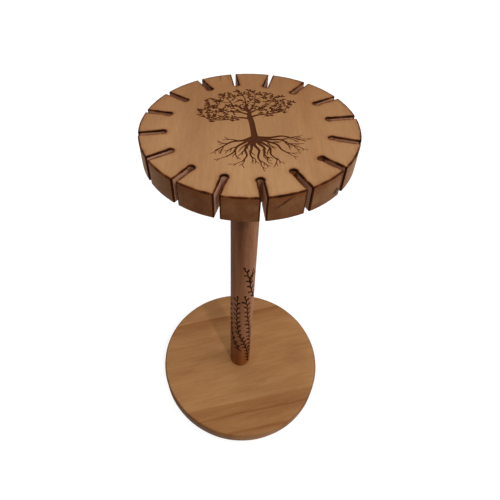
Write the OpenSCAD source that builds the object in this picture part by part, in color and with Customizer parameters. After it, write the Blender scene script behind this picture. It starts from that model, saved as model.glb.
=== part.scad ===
// Round wooden necklace stand: a slotted top on a dowel post, on a round base.
// Frame: +Z up, with the origin on the surface that the feet stand on, under the post's axis.
// +Y is the way up of the tree that is burned into the top, and one slot lies along it.

/* [Stand] */
// Height of the whole stand, from the floor to the top's face
stand_h = 370; // [260:1:500]

/* [Top] */
// Diameter of the slotted top
top_d = 152; // [120:1:220]
// Thickness of the top board
top_t = 19; // [16:0.5:30]
// Rounding of the top board's sanded edges
top_ease = 0.5; // [0.3:0.1:2]

/* [Slots] */
// Number of slots round the rim
slot_count = 16; // [8:1:20]
// Width of a slot
slot_w = 3.4; // [2.5:0.1:6]
// Diameter of the hole drilled at a slot's inner end
slot_hole_d = 4.2; // [3:0.1:7]
// Length of a slot, from the rim to its inner end
slot_l = 20; // [12:0.5:30]

/* [Post] */
// Diameter of the dowel post
post_d = 25; // [18:0.5:36]
// Depth of the blind socket in each board that takes an end of the post
socket_depth = 10; // [6:0.5:12]
// Width of the chamfer on each end of the post
post_chamfer = 1; // [0.5:0.1:2]

/* [Base] */
// Diameter of the base
base_d = 200; // [160:1:280]
// Thickness of the base board
base_t = 19; // [16:0.5:30]
// Rounding of the base's upper edge
base_round = 3; // [1:0.5:6]
// Rounding of the base's lower edge
base_ease = 1; // [0.3:0.1:3]

/* [Screw] */
// Diameter of the screw's shank
screw_d = 4.8; // [3.5:0.1:6]
// Length of the screw, from its head's face to its tip
screw_l = 45; // [30:1:60]
// Diameter of the countersunk head
screw_head_d = 9.4; // [8:0.1:12]
// Height of the head's cylindrical edge
screw_head_edge = 0.6; // [0.4:0.1:1]
// Length of the tapered tip
screw_tip = 7; // [4:0.5:10]
// Depth of the head's face below the underside of the base
screw_sink = 1; // [0.5:0.1:3]

/* [Feet] */
// Number of rubber feet
foot_count = 4; // [3:1:4]
// Diameter of a foot where it sticks to the base
foot_d = 14; // [8:0.5:20]
// Height of a foot
foot_h = 3; // [2:0.5:6]
// Distance from the base's rim to the middle of a foot
foot_inset = 22; // [12:1:40]
// Rounding of a foot's lower edge
foot_round = 1.5; // [0.5:0.1:2]

/* [Clearances] */
// Gap round the post in its sockets, which the glue fills
glue_gap = 0.1; // [0.05:0.01:0.3]
// Gap round the screw's shank in the base
screw_gap = 0.3; // [0.1:0.05:0.6]
// Gap round the screw in the post's pilot hole
pilot_gap = 0.05; // [0.02:0.01:0.1]
// Length of the pilot hole beyond the screw's tip
pilot_spare = 2; // [1:0.5:5]

/* [Hidden] */
foot_names = [for (i = [1 : foot_count]) str("rubber_foot_", i)];

// How far each hand-cut slot strays from even spacing, in degrees, and from the length of a slot
slot_drift = [0, -0.5, 0, 0.5, 1, 0, 1.5, 1, 1, 1, 0.5, 0, -1.5, -2.5, -2.5, -1];
slot_extra = [1, 0.5, 1.5, 1.5, 0, 0, 0.5, 0, -1, -1, -2, -1, -2, 0, -1, 0.5];

// Heights of the seats, from the floor up
base_z = foot_h;
top_z = stand_h - top_t;
post_z = base_z + base_t - socket_depth;
post_l = top_z + socket_depth - post_z;

// Where the screw lies
screw_z = base_z + screw_sink;
head_cone_h = (screw_head_d - screw_d) / 2;
pilot_l = screw_z + screw_l + pilot_spare - post_z;

// Overshoot of a cut past the face that it opens
past = 1;
wood_top = "#b0804f";
wood_post = "#8a5a3a";
wood_base = "#a8763f";

$fn = 96;

// Half section of a disc whose upper and lower rims are rounded
module disc_section(d, t, upper_r, lower_r) {
    inner = max(upper_r, lower_r);
    square([d / 2 - inner, t]);
    translate([0, lower_r]) square([d / 2, t - upper_r - lower_r]);
    square([d / 2 - lower_r, lower_r]);
    translate([0, t - upper_r]) square([d / 2 - upper_r, upper_r]);
    translate([d / 2 - upper_r, t - upper_r]) circle(upper_r);
    translate([d / 2 - lower_r, lower_r]) circle(lower_r);
}

module round_board(d, t, upper_r, lower_r) {
    rotate_extrude() disc_section(d, t, upper_r, lower_r);
}

// Blind socket for an end of the post, opening upwards from z = 0
module post_socket() {
    cylinder(d = post_d + 2 * glue_gap, h = socket_depth + past);
}

// One slot along +X: a drilled hole, opened to the rim by two saw cuts
module rim_slot(length) {
    hole_x = top_d / 2 - length + slot_hole_d / 2;
    translate([hole_x, 0, -past]) cylinder(d = slot_hole_d, h = top_t + 2 * past);
    translate([hole_x, -slot_w / 2, -past]) cube([length, slot_w, top_t + 2 * past]);
}

module top_disc() {
    color(wood_top)
    translate([0, 0, top_z])
    difference() {
        round_board(top_d, top_t, top_ease, top_ease);
        for (i = [0 : slot_count - 1])
            rotate(i * 360 / slot_count + slot_drift[i % len(slot_drift)])
            rim_slot(slot_l + slot_extra[i % len(slot_extra)]);
        translate([0, 0, socket_depth]) mirror([0, 0, 1]) post_socket();
    }
}

module post() {
    color(wood_post)
    translate([0, 0, post_z])
    difference() {
        rotate_extrude() polygon([
            [0, 0], [post_d / 2 - post_chamfer, 0], [post_d / 2, post_chamfer],
            [post_d / 2, post_l - post_chamfer], [post_d / 2 - post_chamfer, post_l], [0, post_l]]);
        translate([0, 0, -past]) cylinder(d = screw_d + 2 * pilot_gap, h = pilot_l + past);
    }
}

// Countersunk bore for the screw, from the base's underside up
module screw_bore() {
    bore_d = screw_d + 2 * screw_gap;
    head_d = screw_head_d + 2 * screw_gap;
    cone_z = screw_sink + screw_head_edge;
    translate([0, 0, -past]) cylinder(d = bore_d, h = base_t + past);
    translate([0, 0, -past]) cylinder(d = head_d, h = cone_z + past);
    translate([0, 0, cone_z]) cylinder(d1 = head_d, d2 = bore_d, h = (head_d - bore_d) / 2);
}

module base_disc() {
    color(wood_base)
    translate([0, 0, base_z])
    difference() {
        round_board(base_d, base_t, base_round, base_ease);
        translate([0, 0, base_t - socket_depth]) post_socket();
        screw_bore();
    }
}

module base_screw() {
    cone_z = screw_head_edge + head_cone_h;
    color("silver")
    translate([0, 0, screw_z])
    rotate_extrude() polygon([
        [0, 0], [screw_head_d / 2, 0], [screw_head_d / 2, screw_head_edge], [screw_d / 2, cone_z],
        [screw_d / 2, screw_l - screw_tip], [0, screw_l]]);
}

// Half section of a stick-on foot, rounded where it meets the floor
module foot_section() {
    translate([0, foot_round]) square([foot_d / 2, foot_h - foot_round]);
    square([foot_d / 2 - foot_round, foot_round]);
    translate([foot_d / 2 - foot_round, foot_round]) circle(foot_round);
}

module rubber_foot(i) {
    angle = (i + 0.5) * 360 / foot_count;
    color("dimgray")
    rotate(angle) translate([base_d / 2 - foot_inset, 0, 0])
    rotate_extrude() foot_section();
}

base_disc();
post();
top_disc();
base_screw();
for (i = [0 : foot_count - 1])
    rubber_foot(i);
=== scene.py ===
import math
import random

import bmesh
import bpy
import numpy as np
from mathutils import Euler, Matrix, Vector
from mathutils.geometry import delaunay_2d_cdt


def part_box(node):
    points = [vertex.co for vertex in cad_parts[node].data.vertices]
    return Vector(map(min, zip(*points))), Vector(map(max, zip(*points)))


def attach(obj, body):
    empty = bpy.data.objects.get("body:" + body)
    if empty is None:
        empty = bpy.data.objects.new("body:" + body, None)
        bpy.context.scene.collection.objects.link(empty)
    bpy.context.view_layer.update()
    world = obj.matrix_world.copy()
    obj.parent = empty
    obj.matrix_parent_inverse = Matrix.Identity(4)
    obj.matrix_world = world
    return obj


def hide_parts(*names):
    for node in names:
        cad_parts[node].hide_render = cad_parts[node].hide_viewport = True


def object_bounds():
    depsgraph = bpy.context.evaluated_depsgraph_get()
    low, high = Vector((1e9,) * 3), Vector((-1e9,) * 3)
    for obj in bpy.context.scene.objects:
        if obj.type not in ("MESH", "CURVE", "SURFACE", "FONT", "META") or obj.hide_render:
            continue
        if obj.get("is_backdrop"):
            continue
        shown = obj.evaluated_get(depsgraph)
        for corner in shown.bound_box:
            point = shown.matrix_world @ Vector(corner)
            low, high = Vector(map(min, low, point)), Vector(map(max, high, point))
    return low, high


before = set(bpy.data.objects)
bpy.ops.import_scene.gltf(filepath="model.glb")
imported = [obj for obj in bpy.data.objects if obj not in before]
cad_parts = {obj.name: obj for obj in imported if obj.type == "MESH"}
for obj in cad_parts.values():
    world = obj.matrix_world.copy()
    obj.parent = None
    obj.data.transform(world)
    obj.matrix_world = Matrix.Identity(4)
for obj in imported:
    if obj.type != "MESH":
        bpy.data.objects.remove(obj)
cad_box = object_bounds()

# Lengths are in mm and become metres when a mesh is made.
MM = 0.001

# Sizes of the stand that the frame's boxes give
top_low, top_high = (np.array(corner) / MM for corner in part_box("top_disc"))
base_low, base_high = (np.array(corner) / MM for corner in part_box("base_disc"))
post_low, post_high = (np.array(corner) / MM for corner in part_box("post"))
screw_low, screw_high = (np.array(corner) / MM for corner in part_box("base_screw"))
BASE_R = base_high[0]
POST_R = post_high[0]
SCREW_HEAD_R = screw_high[0]

# Slotted top
TOP_R = 76.0
TOP_T = top_high[2] - top_low[2]
SLOT_W = 3.4
SLOT_HOLE_R = 2.1
SLOT_L = 20.0
SLOT_DRIFT = (0, -0.5, 0, 0.5, 1, 0, 1.5, 1, 1, 1, 0.5, 0, -1.5, -2.5, -2.5, -1)
SLOT_EXTRA = (1, 0.5, 1.5, 1.5, 0, 0, 0.5, 0, -1, -1, -2, -1, -2, 0, -1, 0.5)
TOP_EASE = 0.5
CORNER_R = 0.6

# Joints between the pieces
SOCKET_DEPTH = 10.0
GLUE_GAP = 0.1
SCREW_R = 2.4
SCREW_GAP = 0.3
SCREW_HEAD_EDGE = 0.6
SCREW_SINK = 1.0
SCREW_TIP = 7.0
PILOT_GAP = 0.05
PILOT_SPARE = 2.0

# The post's ends, the base's edges and the feet
POST_CHAMFER = 1.0
BASE_ROUND = 3.0
BASE_EASE = 1.0
FOOT_COUNT = 4

# Burned lines: their depth, the width of their sloping sides and of the scorched halo
BURN_DEPTH = 0.3
BURN_SLOPE = 0.1
BURN_HALO = 0.3
BURN_LEVELS = (-BURN_SLOPE, 0.0, BURN_HALO)
# How near to one of these levels a point counts as on it
LEVEL_SNAP = 0.04
# The grid for drawing: its step, how far around a line it is filled in, what counts as far from
# every line, how closely an outline follows a line, and the share of a step it keeps off the grid.
# Places are looked up to a hair before its last line.
GRID_STEP = 0.1
FILL_MARGIN = 1.0
FAR = 4.0
LINE_TOLERANCE = 0.02
GRID_NICK = 0.02
GRID_END = 1.001
TINY = 1e-6

# The camera, fitted to the outlines of both discs and the post: angles in degrees, lens in the
# photo's pixels
PHOTO_SIZE = 500.0
CAMERA_AT = (-41.1, -245.8, 524.0)
CAMERA_HEADING = 85.13
CAMERA_TILT = 48.52
CAMERA_ROLL = -1.36
FOCAL_PX = 405.5
CENTRE_PX = (222.3, 247.2)
SENSOR_MM = 36.0
CLIP_START = 0.01


class Drawing:
    """Burned lines as a distance field on a grid, in mm: negative inside a line."""

    def __init__(self, low, high):
        self.low = np.array(low, float)
        columns, rows = (int(round((b - a) / GRID_STEP)) + 1 for a, b in zip(low, high))
        self.field = np.full((rows, columns), FAR)

    def window(self, points, reach):
        """The part of the grid within reach of the points, and its coordinates."""
        size = self.field.shape[::-1]
        first = np.floor((np.min(points, 0) - reach - self.low) / GRID_STEP).astype(int)
        last = np.ceil((np.max(points, 0) + reach - self.low) / GRID_STEP).astype(int) + 1
        first, last = np.clip(first, 0, size), np.clip(last, 0, size)
        columns, rows = (np.arange(a, b) for a, b in zip(first, last))
        x, y = self.low[0] + columns * GRID_STEP, self.low[1] + rows * GRID_STEP
        part = (slice(first[1], last[1]), slice(first[0], last[0]))
        return part, x[None, :], y[:, None]

    def add(self, part, distance):
        self.field[part] = np.minimum(self.field[part], distance)

    def stroke(self, points, radii):
        for a, b, radius_a, radius_b in zip(points[:-1], points[1:], radii[:-1], radii[1:]):
            part, x, y = self.window(np.array([a, b]), max(radius_a, radius_b) + FILL_MARGIN)
            dx, dy = b[0] - a[0], b[1] - a[1]
            t = ((x - a[0]) * dx + (y - a[1]) * dy) / max(dx * dx + dy * dy, TINY)
            t = np.clip(t, 0, 1)
            gap = np.hypot(x - a[0] - t * dx, y - a[1] - t * dy)
            self.add(part, gap - radius_a - t * (radius_b - radius_a))

    def leaf(self, stalk, angle, length, width):
        """A pointed oval that starts at its stalk: where two equal circles overlap."""
        half, thick = length / 2, width / 2
        circle_r = (half * half + thick * thick) / (2 * thick)
        ux, uy = math.cos(angle), math.sin(angle)
        middle = np.array([stalk[0] + ux * half, stalk[1] + uy * half])
        part, x, y = self.window(middle[None], half + FILL_MARGIN)
        along = (x - middle[0]) * ux + (y - middle[1]) * uy
        across = np.abs((y - middle[1]) * ux - (x - middle[0]) * uy)
        self.add(part, np.hypot(along, across + circle_r - thick) - circle_r)

    def at(self, points):
        """Distance to the nearest line at each point, between the grid's values."""
        spot = (np.atleast_2d(points) - self.low) / GRID_STEP
        rows, columns = self.field.shape
        inside = ((spot >= 0) & (spot <= (columns - 1, rows - 1))).all(1)
        spot = np.clip(spot, 0, (columns - GRID_END, rows - GRID_END))
        i, j = spot[:, 0].astype(int), spot[:, 1].astype(int)
        u, v = spot[:, 0] - i, spot[:, 1] - j
        low = self.field[j, i] * (1 - u) + self.field[j, i + 1] * u
        high = self.field[j + 1, i] * (1 - u) + self.field[j + 1, i + 1] * u
        return np.where(inside, low * (1 - v) + high * v, FAR)

    def outlines(self, level):
        """Closed outlines where the field has this level, by marching squares."""
        f = self.field - level
        dark = f < 0
        case = dark[:-1, :-1] + 2 * dark[:-1, 1:] + 4 * dark[1:, 1:] + 8 * dark[1:, :-1]
        onward = {}
        for j, i in zip(*np.nonzero((case > 0) & (case < 15))):
            sides = ((0, j, i), (1, j, i + 1), (0, j + 1, i), (1, j, i))
            for start, end in SQUARE_PATHS[case[j, i]]:
                onward[sides[start]] = sides[end]
        loops = []
        while onward:
            first = next(iter(onward))
            side, loop = first, []
            while side in onward:
                loop.append(self.crossing(f, *side))
                side = onward.pop(side)
            loops.append(simplified(np.array(loop)))
        return [loop for loop in loops if len(loop) > 3]

    def crossing(self, f, upright, j, i):
        a, b = f[j, i], f[j + upright, i + 1 - upright]
        t = min(max(a / (a - b), GRID_NICK), 1 - GRID_NICK)
        step = (0, t) if upright else (t, 0)
        return self.low + (np.array([i, j]) + step) * GRID_STEP


# Which sides of a grid square an outline enters and leaves by, for each set of dark corners
SQUARE_PATHS = {
    1: ((0, 3),), 2: ((1, 0),), 3: ((1, 3),), 4: ((2, 1),), 5: ((0, 3), (2, 1)),
    6: ((2, 0),), 7: ((2, 3),), 8: ((3, 2),), 9: ((0, 2),), 10: ((1, 0), (3, 2)),
    11: ((1, 2),), 12: ((3, 1),), 13: ((0, 1),), 14: ((3, 0),),
}


def simplified(loop):
    """A closed outline with only the points that it needs to stay within the tolerance."""
    far = int(np.linalg.norm(loop - loop[0], axis=1).argmax())
    keep = {0, far}
    spans = [(0, far), (far, len(loop))]
    while spans:
        first, last = spans.pop()
        if last - first < 2:
            continue
        a, b = loop[first], loop[last % len(loop)]
        middle = loop[first + 1:last]
        chord = b - a
        off = middle - a
        length = np.hypot(*chord)
        if length < TINY:
            gaps = np.linalg.norm(off, axis=1)
        else:
            gaps = np.abs(off[:, 0] * chord[1] - off[:, 1] * chord[0]) / length
        worst = int(gaps.argmax())
        if gaps[worst] > LINE_TOLERANCE:
            split = first + 1 + worst
            keep.add(split)
            spans += [(first, split), (split, last)]
    return loop[sorted(keep)]


def smooth_curve(points, count=12):
    """Catmull-Rom curve through the points."""
    p = np.array(points, float)
    p = np.vstack([2 * p[0] - p[1], p, 2 * p[-1] - p[-2]])
    t = (np.arange(count) / count)[:, None]
    curve = []
    for a, b, c, d in zip(p[:-3], p[1:-2], p[2:-1], p[3:]):
        cubic = 2 * b + (c - a) * t + (2 * a - 5 * b + 4 * c - d) * t**2
        curve.append(0.5 * (cubic + (3 * b - a - 3 * c + d) * t**3))
    return np.vstack(curve + [p[-2:-1]])


def eased(points, rounds=3):
    q = np.array(points, float)
    for _ in range(rounds):
        q[1:-1] = (q[:-2] + 2 * q[1:-1] + q[2:]) / 4
    return q


def spaced(path, gap, whole=round):
    """Points at even steps of about the gap along a path."""
    run = np.append(0, np.cumsum(np.linalg.norm(np.diff(path, axis=0), axis=1)))
    at = np.linspace(0, run[-1], int(whole(run[-1] / gap)) + 1)
    return np.stack([np.interp(at, run, path[:, 0]), np.interp(at, run, path[:, 1])], 1)


def heading(line, k):
    """The angle of a line's step to its point k."""
    return math.atan2(*(line[k] - line[k - 1])[::-1])


# The tree on the top: trunk, limbs and roots, drawn with +Y up
TREE_SEED = 6
TREE_REACH = 54.0
# The crown is a dome with a tilted underside, open beside the trunk and thin in its core
CROWN_X, CROWN_Y = 1.5, 24.5
CROWN_SPAN = (8, 50)
CROWN_R = 36.0
CROWN_UP = 24.5
CROWN_DOWN = 11.0
CROWN_TILT = 0.09
DOME_POWER = 1.4
UNDERSIDE_POWER = 0.4
TRUNK_GAP_X, TRUNK_GAP_Y = 8, -6
CORE_TOP = 5
CORE_R = 0.55
CORE_SHARE = 0.5
# How likely a twig carries a leaf, by how far out it is as a share of these half-sizes
LEAFY_X, LEAFY_Y = 33, 23
LEAFINESS = ((0.5625, 0.78125), (0.3, 1.0))
# Clumps of leaves: the gap between them, their radius and the gap between twigs in one
CLUMP_GAP = 4.7
CLUMP_TRIES = 3000
CLUMP_R = 2.7
TWIG_GAP = 1.7
TWIG_TRIES = 9000
# How twigs grow: a step, how far a target pulls, when it is reached, and how a step strays and lifts
TWIG_STEP = 1.0
TWIG_PULL = 13.0
TWIG_REACHED = 1.7
TWIG_SWAY = 0.3
TWIG_LIFT = 0.1
TWIG_APART = 0.45 * TWIG_STEP
# Half-width of a twig with one tip, and how it grows with the number of tips and flares at a fork
TWIG_R = 0.1
TWIG_POWER = 0.42
FORK_FLARE = 1.25
# Leaves: their turns at a twig's tip, how those stray, the turns along its side, their length, their
# width as a share of it, and the gap between two
TIP_LEAVES = (0, 0.85, -0.85, 1.6, -1.6)
TIP_SWAY = 0.15
SIDE_LEAF = (0.7, 1.1)
LEAF_LENGTH = (1.6, 2.5)
LEAF_SHARE = (0.42, 0.55)
LEAF_GAP = 1.35
TRUNK = ([(1.8, -17), (2.2, -8), (2.6, 2), (2.3, 10), (2.8, 17)], [2.3, 1.85, 1.8, 1.8, 1.0])
LIMBS = [
    ([(2.0, 7.5), (-4.5, 9.8), (-13, 8.6), (-21, 8.8), (-27.5, 10.6)], [0.9, 0.65, 0.5, 0.4, 0.25]),
    ([(2.7, 9.5), (9, 11.8), (15, 12), (22.5, 13), (29, 15.4)], [0.9, 0.65, 0.5, 0.4, 0.25]),
    ([(2.4, 12.5), (-3.5, 16.8), (-11.5, 19), (-17, 23.5)], [0.8, 0.55, 0.4, 0.25]),
    ([(2.7, 14.5), (8, 18.4), (13.5, 20.4), (18.5, 25.5)], [0.8, 0.55, 0.4, 0.25]),
    ([(2.8, 16), (-1.6, 22.5), (-7.5, 27), (-9, 33)], [0.8, 0.5, 0.35, 0.25]),
    ([(2.8, 16.5), (6.6, 23.5), (9, 28.5), (9.6, 34)], [0.8, 0.5, 0.35, 0.25]),
    ([(2.8, 17), (2.0, 25), (2.4, 33)], [0.7, 0.45, 0.25]),
]
# Leaves that hang under the lowest limbs: which limb, and where along it, then their stalks and leaves
HANGING = [(0, 0.34), (0, 0.42), (0, 0.86), (0, 0.93), (1, 0.5), (1, 0.58), (1, 0.95)]
HANG_DROP = 1.6
HANG_SWAY = 0.8
HANG_R = (0.15, 0.1)
HANG_LEAVES = (-1.1, 0, 1.0)
HANG_TURN = 0.2
HANG_LENGTH = (1.6, 2.2)
HANG_WIDTH = 0.9
# The trunk's foot, and the main roots from there outwards
TRUNK_FOOT = ([(2.0, -13), (1.8, -17.4)], [2.0, 2.4])
ROOTS = [
    [(-0.6, -15.8), (-6, -18.2), (-13.5, -18.8), (-19.5, -22.6), (-25, -27.4)],
    [(-0.3, -16.8), (-5.6, -20.6), (-10.8, -24.6), (-14.6, -31), (-19.5, -34.6)],
    [(0.2, -17.6), (-3.4, -22.8), (-6.4, -28.6), (-6.2, -35), (-9.8, -40.6)],
    [(0.7, -18.0), (-1.4, -23.6), (-2.2, -28.5), (-3.8, -33.5), (-3.0, -38.5)],
    [(1.1, -18.2), (0.4, -24.6), (2.4, -30.6), (0.6, -37.4), (1.6, -43.6)],
    [(1.8, -18.2), (3.6, -23.5), (6.2, -28.5), (5.0, -34.0), (6.4, -39.5)],
    [(2.4, -18.2), (6.4, -23.5), (9.8, -28.6), (9.2, -35.6), (12, -41.6)],
    [(3.3, -17.6), (9.6, -21.6), (14.8, -25.4), (17, -31.6), (20.8, -36.2)],
    [(3.9, -16.8), (11.6, -19.4), (18.2, -20.6), (22.8, -25.2), (27.4, -29.4)],
    [(4.2, -15.9), (12, -17.2), (19.4, -16.4), (25.2, -18.6), (30.4, -21.4)],
]
ROOT_R = 1.15
ROOT_END_R = 0.26
ROOT_TAPER = 1.3
# Where along its length a main root and a rootlet fork
ROOT_FORKS = (0.24, 0.36, 0.5, 0.64, 0.78, 0.9, 1.0)
ROOTLET_FORKS = (0.4, 0.7)
# A rootlet and a fork of one: the turn, the length, the half-width as a share of that of the line it
# leaves, and by how much the length is multiplied at that line's start and end
ROOTLET_SHARE = 0.6
ROOTLET = ((0.45, 0.9), (9.0, 13.0), ROOTLET_SHARE, (1.15, 0.7))
ROOTLET_FORK = ((0.5, 0.9), (3.2, 5.0), 0.8, (1, 1))
ROOTLET_END_R = 0.07
# How a rootlet grows: a step, how it curls, strays and turns down, how far it starts free of its
# root, how near to another line it stops, and the fewest points that make one
ROOTLET_STEP = 0.8
ROOTLET_CURL = (-0.2, 0.05)
ROOTLET_SWAY = 0.16
ROOTLET_SINK = 0.05
ROOTLET_START = 1.0
ROOTLET_GAP = 0.6
ROOTLET_POINTS = 5


def in_crown(rng, x, y):
    """Whether a twig may end at a spot."""
    x, y = x - CROWN_X, y - CROWN_Y
    if abs(x) >= CROWN_R or abs(x) < TRUNK_GAP_X and y < TRUNK_GAP_Y:
        return False
    side = math.sqrt(1 - (x / CROWN_R) ** 2)
    underside = CROWN_TILT * x - CROWN_DOWN * side**UNDERSIDE_POWER
    if not underside < y < CROWN_UP * side**DOME_POWER:
        return False
    return y > CORE_TOP or math.hypot(x / CROWN_R, y / CROWN_UP) > CORE_R or rng.random() < CORE_SHARE


def leafiness(x, y):
    """How likely a twig carries a leaf: the crown is dense outside and open inside."""
    return np.interp(math.hypot((x - CROWN_X) / LEAFY_X, (y - CROWN_Y) / LEAFY_Y), *LEAFINESS)


def scattered(rng, inside, low, high, gap, tries):
    spots = []
    for _ in range(tries):
        x, y = rng.uniform(low[0], high[0]), rng.uniform(low[1], high[1])
        if inside(rng, x, y) and all(math.hypot(x - a, y - b) > gap for a, b in spots):
            spots.append((x, y))
    return np.array(spots)


def skeleton(stems):
    """The listed stems as one graph of nodes: places, parents and half-widths."""
    places, parents, widths = [], [], []
    for points, radii in stems:
        stops = spaced(smooth_curve(points), TWIG_STEP)
        parent = -1
        if places:
            parent = int(np.linalg.norm(np.array(places) - stops[0], axis=1).argmin())
        shares = np.linspace(0, 1, len(stops))
        widths += list(np.interp(shares, np.linspace(0, 1, len(radii)), radii))
        parents += [parent, *range(len(places), len(places) + len(stops) - 1)]
        places += list(stops)
    return places, parents, widths


def grow(rng, places, parents, targets):
    """Twigs that grow towards the targets, each target pulling the twig nearest to it."""
    while len(targets):
        nodes = np.array(places)
        gaps = np.linalg.norm(targets[:, None] - nodes[None], axis=2)
        nearest = gaps.argmin(1)
        pull = {}
        for target, node, gap in zip(targets, nearest, gaps.min(1)):
            if gap < TWIG_PULL:
                pull.setdefault(int(node), []).append((target - nodes[node]) / max(gap, TINY))
        count = len(places)
        for node, ways in sorted(pull.items()):
            sway = (rng.uniform(-TWIG_SWAY, TWIG_SWAY), rng.uniform(-TWIG_SWAY, TWIG_SWAY) + TWIG_LIFT)
            way = np.sum(ways, 0) + sway
            place = nodes[node] + TWIG_STEP * way / max(np.linalg.norm(way), TINY)
            if np.linalg.norm(np.array(places) - place, axis=1).min() > TWIG_APART:
                places.append(place)
                parents.append(node)
        if len(places) == count:
            break
        fresh = np.array(places[count:])
        left = np.linalg.norm(targets[:, None] - fresh[None], axis=2).min(1) > TWIG_REACHED
        targets = targets[left]
    return np.array(places), parents


def draw_crown(rng, drawing):
    """The trunk and limbs, and the twigs and leaves that grow from them."""
    places, parents, widths = skeleton([TRUNK] + LIMBS)
    set_by_hand = len(places)
    low, high = zip((CROWN_X - CROWN_R, CROWN_X + CROWN_R), CROWN_SPAN)
    clumps = scattered(rng, in_crown, low, high, CLUMP_GAP, CLUMP_TRIES)

    def leafy(rng, x, y):
        return in_crown(rng, x, y) and np.hypot(*(clumps - (x, y)).T).min() < CLUMP_R

    targets = scattered(rng, leafy, low, high, TWIG_GAP, TWIG_TRIES)
    places, parents = grow(rng, places, parents, targets)
    children = [[] for _ in places]
    for node, parent in enumerate(parents):
        if parent >= 0:
            children[parent].append(node)
    tips = [1] * len(places)
    for node in range(len(places) - 1, -1, -1):
        tips[node] = max(1, sum(tips[child] for child in children[node]))
    radius = [TWIG_R * count**TWIG_POWER for count in tips]
    for node, width in enumerate(widths):
        radius[node] = max(radius[node], width)
    leaves = []

    def leaf(stalk, angle):
        length = rng.uniform(*LEAF_LENGTH)
        width = length * rng.uniform(*LEAF_SHARE)
        x = stalk[0] + math.cos(angle) * length / 2
        y = stalk[1] + math.sin(angle) * length / 2
        if all(math.hypot(x - a, y - b) >= LEAF_GAP for a, b in leaves):
            leaves.append((x, y))
            drawing.leaf(stalk, angle, length, width)

    branches = [[0]]
    while branches:
        chain = branches.pop()
        while children[chain[-1]]:
            order = sorted(children[chain[-1]], key=lambda child: -tips[child])
            branches += [[chain[-1], child] for child in order[1:]]
            chain.append(order[0])
        line = eased(places[chain])
        radii = [radius[node] for node in chain]
        radii[0] = min(radii[0], radii[1] * FORK_FLARE)
        drawing.stroke(line, radii)
        for k, node in enumerate(chain[1:], 1):
            angle = heading(line, k)
            if not children[node]:
                for turn in TIP_LEAVES:
                    leaf(line[k], angle + turn + rng.uniform(-TIP_SWAY, TIP_SWAY))
            elif tips[node] <= 2 and node >= set_by_hand and rng.random() < leafiness(*line[k]):
                leaf(line[k], angle + (1 if k % 2 else -1) * rng.uniform(*SIDE_LEAF))
    for limb, share in HANGING:
        line = smooth_curve(LIMBS[limb][0])
        start = line[int(share * len(line))]
        end = start + (rng.uniform(-HANG_SWAY, HANG_SWAY), -HANG_DROP)
        drawing.stroke([start, end], HANG_R)
        for turn in HANG_LEAVES:
            angle = turn - math.pi / 2 + rng.uniform(-HANG_TURN, HANG_TURN)
            drawing.leaf(end, angle, rng.uniform(*HANG_LENGTH), HANG_WIDTH)


def draw_roots(rng, drawing):
    """Main roots, and rootlets that curl and fork and stop before they would cross another."""
    waiting = []

    def fork(line, radii, side, shares, turn, length, thickness, fall, forks):
        for share in shares:
            k = int(share * (len(line) - 1))
            side = -side
            angle = heading(line, k) + side * rng.uniform(*turn)
            reach = rng.uniform(*length) * np.interp(share, (0, 1), fall)
            waiting.append((line[k], angle, side, reach, thickness * radii[k], forks))

    for points in ROOTS:
        line = smooth_curve(points)
        taper = np.linspace(1, 0, len(line)) ** ROOT_TAPER
        radii = ROOT_END_R + (ROOT_R - ROOT_END_R) * taper
        drawing.stroke(line, radii)
        fork(line, radii, rng.choice((1, -1)), ROOT_FORKS, *ROOTLET, ROOTLET_FORKS)
    drawing.stroke(*TRUNK_FOOT)
    while waiting:
        place, angle, side, length, radius, forks = waiting.pop(0)
        steps = int(length / ROOTLET_STEP)
        curl = side * rng.uniform(*ROOTLET_CURL)
        free = (radius / ROOTLET_SHARE + ROOTLET_START) / ROOTLET_STEP
        line = [place]
        for k in range(1, steps + 1):
            angle += curl + rng.uniform(-ROOTLET_SWAY, ROOTLET_SWAY) - ROOTLET_SINK * math.cos(angle)
            way = ROOTLET_STEP * np.array([math.cos(angle), math.sin(angle)])
            place = place + way
            if k > free and drawing.at(place + way)[0] < ROOTLET_GAP:
                break
            line.append(place)
        if len(line) < ROOTLET_POINTS:
            continue
        radii = np.linspace(radius, ROOTLET_END_R, len(line))
        drawing.stroke(eased(line), radii)
        fork(line, radii, side, forks, *ROOTLET_FORK, ())


def tree_drawing():
    rng = random.Random(TREE_SEED)
    drawing = Drawing((-TREE_REACH, -TREE_REACH), (TREE_REACH, TREE_REACH))
    draw_crown(rng, drawing)
    draw_roots(rng, drawing)
    return drawing


# The vines on the post: the angles and heights that each stem passes through, and its half-width.
# The sheet on which they are drawn wraps the post and meets itself at the seam's angle.
VINE_SEED = 4
VINE_SEAM = 62.0
VINE_LOW, VINE_HIGH = 22.6, 250.0
VINES = [
    ([(-44, 27), (-54, 48), (-66, 68), (-92, 90), (-111, 105), (-121, 126), (-124, 148), (-122, 174)], 0.9),
    ([(-36, 52), (-43, 78), (-49, 98), (-55, 118), (-67, 140), (-72, 158), (-83, 176)], 0.75),
    ([(-30, 170), (-55, 189), (-65, 203), (-75, 214), (-89, 223)], 0.8),
    ([(-62, 199), (-55, 208), (-50, 217)], 0.7),
    ([(-100, 62), (-128, 78), (-148, 92), (-162, 112), (-170, 136), (-168, 164)], 0.75),
    ([(-186, 27), (-204, 62), (-212, 106), (-226, 156)], 0.85),
    ([(-236, 34), (-252, 72), (-266, 120), (-266, 190)], 0.7),
    ([(34, 28), (32, 64), (22, 98), (20, 134)], 0.7),
]
# Points on each stretch of a stem's path and of the stem, its zigzag, its tip and how dark it is
VINE_PATH_POINTS = 40
VINE_STEM_POINTS = 6
VINE_ZIGZAG = 0.5
VINE_TIP_R = 0.5
VINE_HEAT = 1.6
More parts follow.
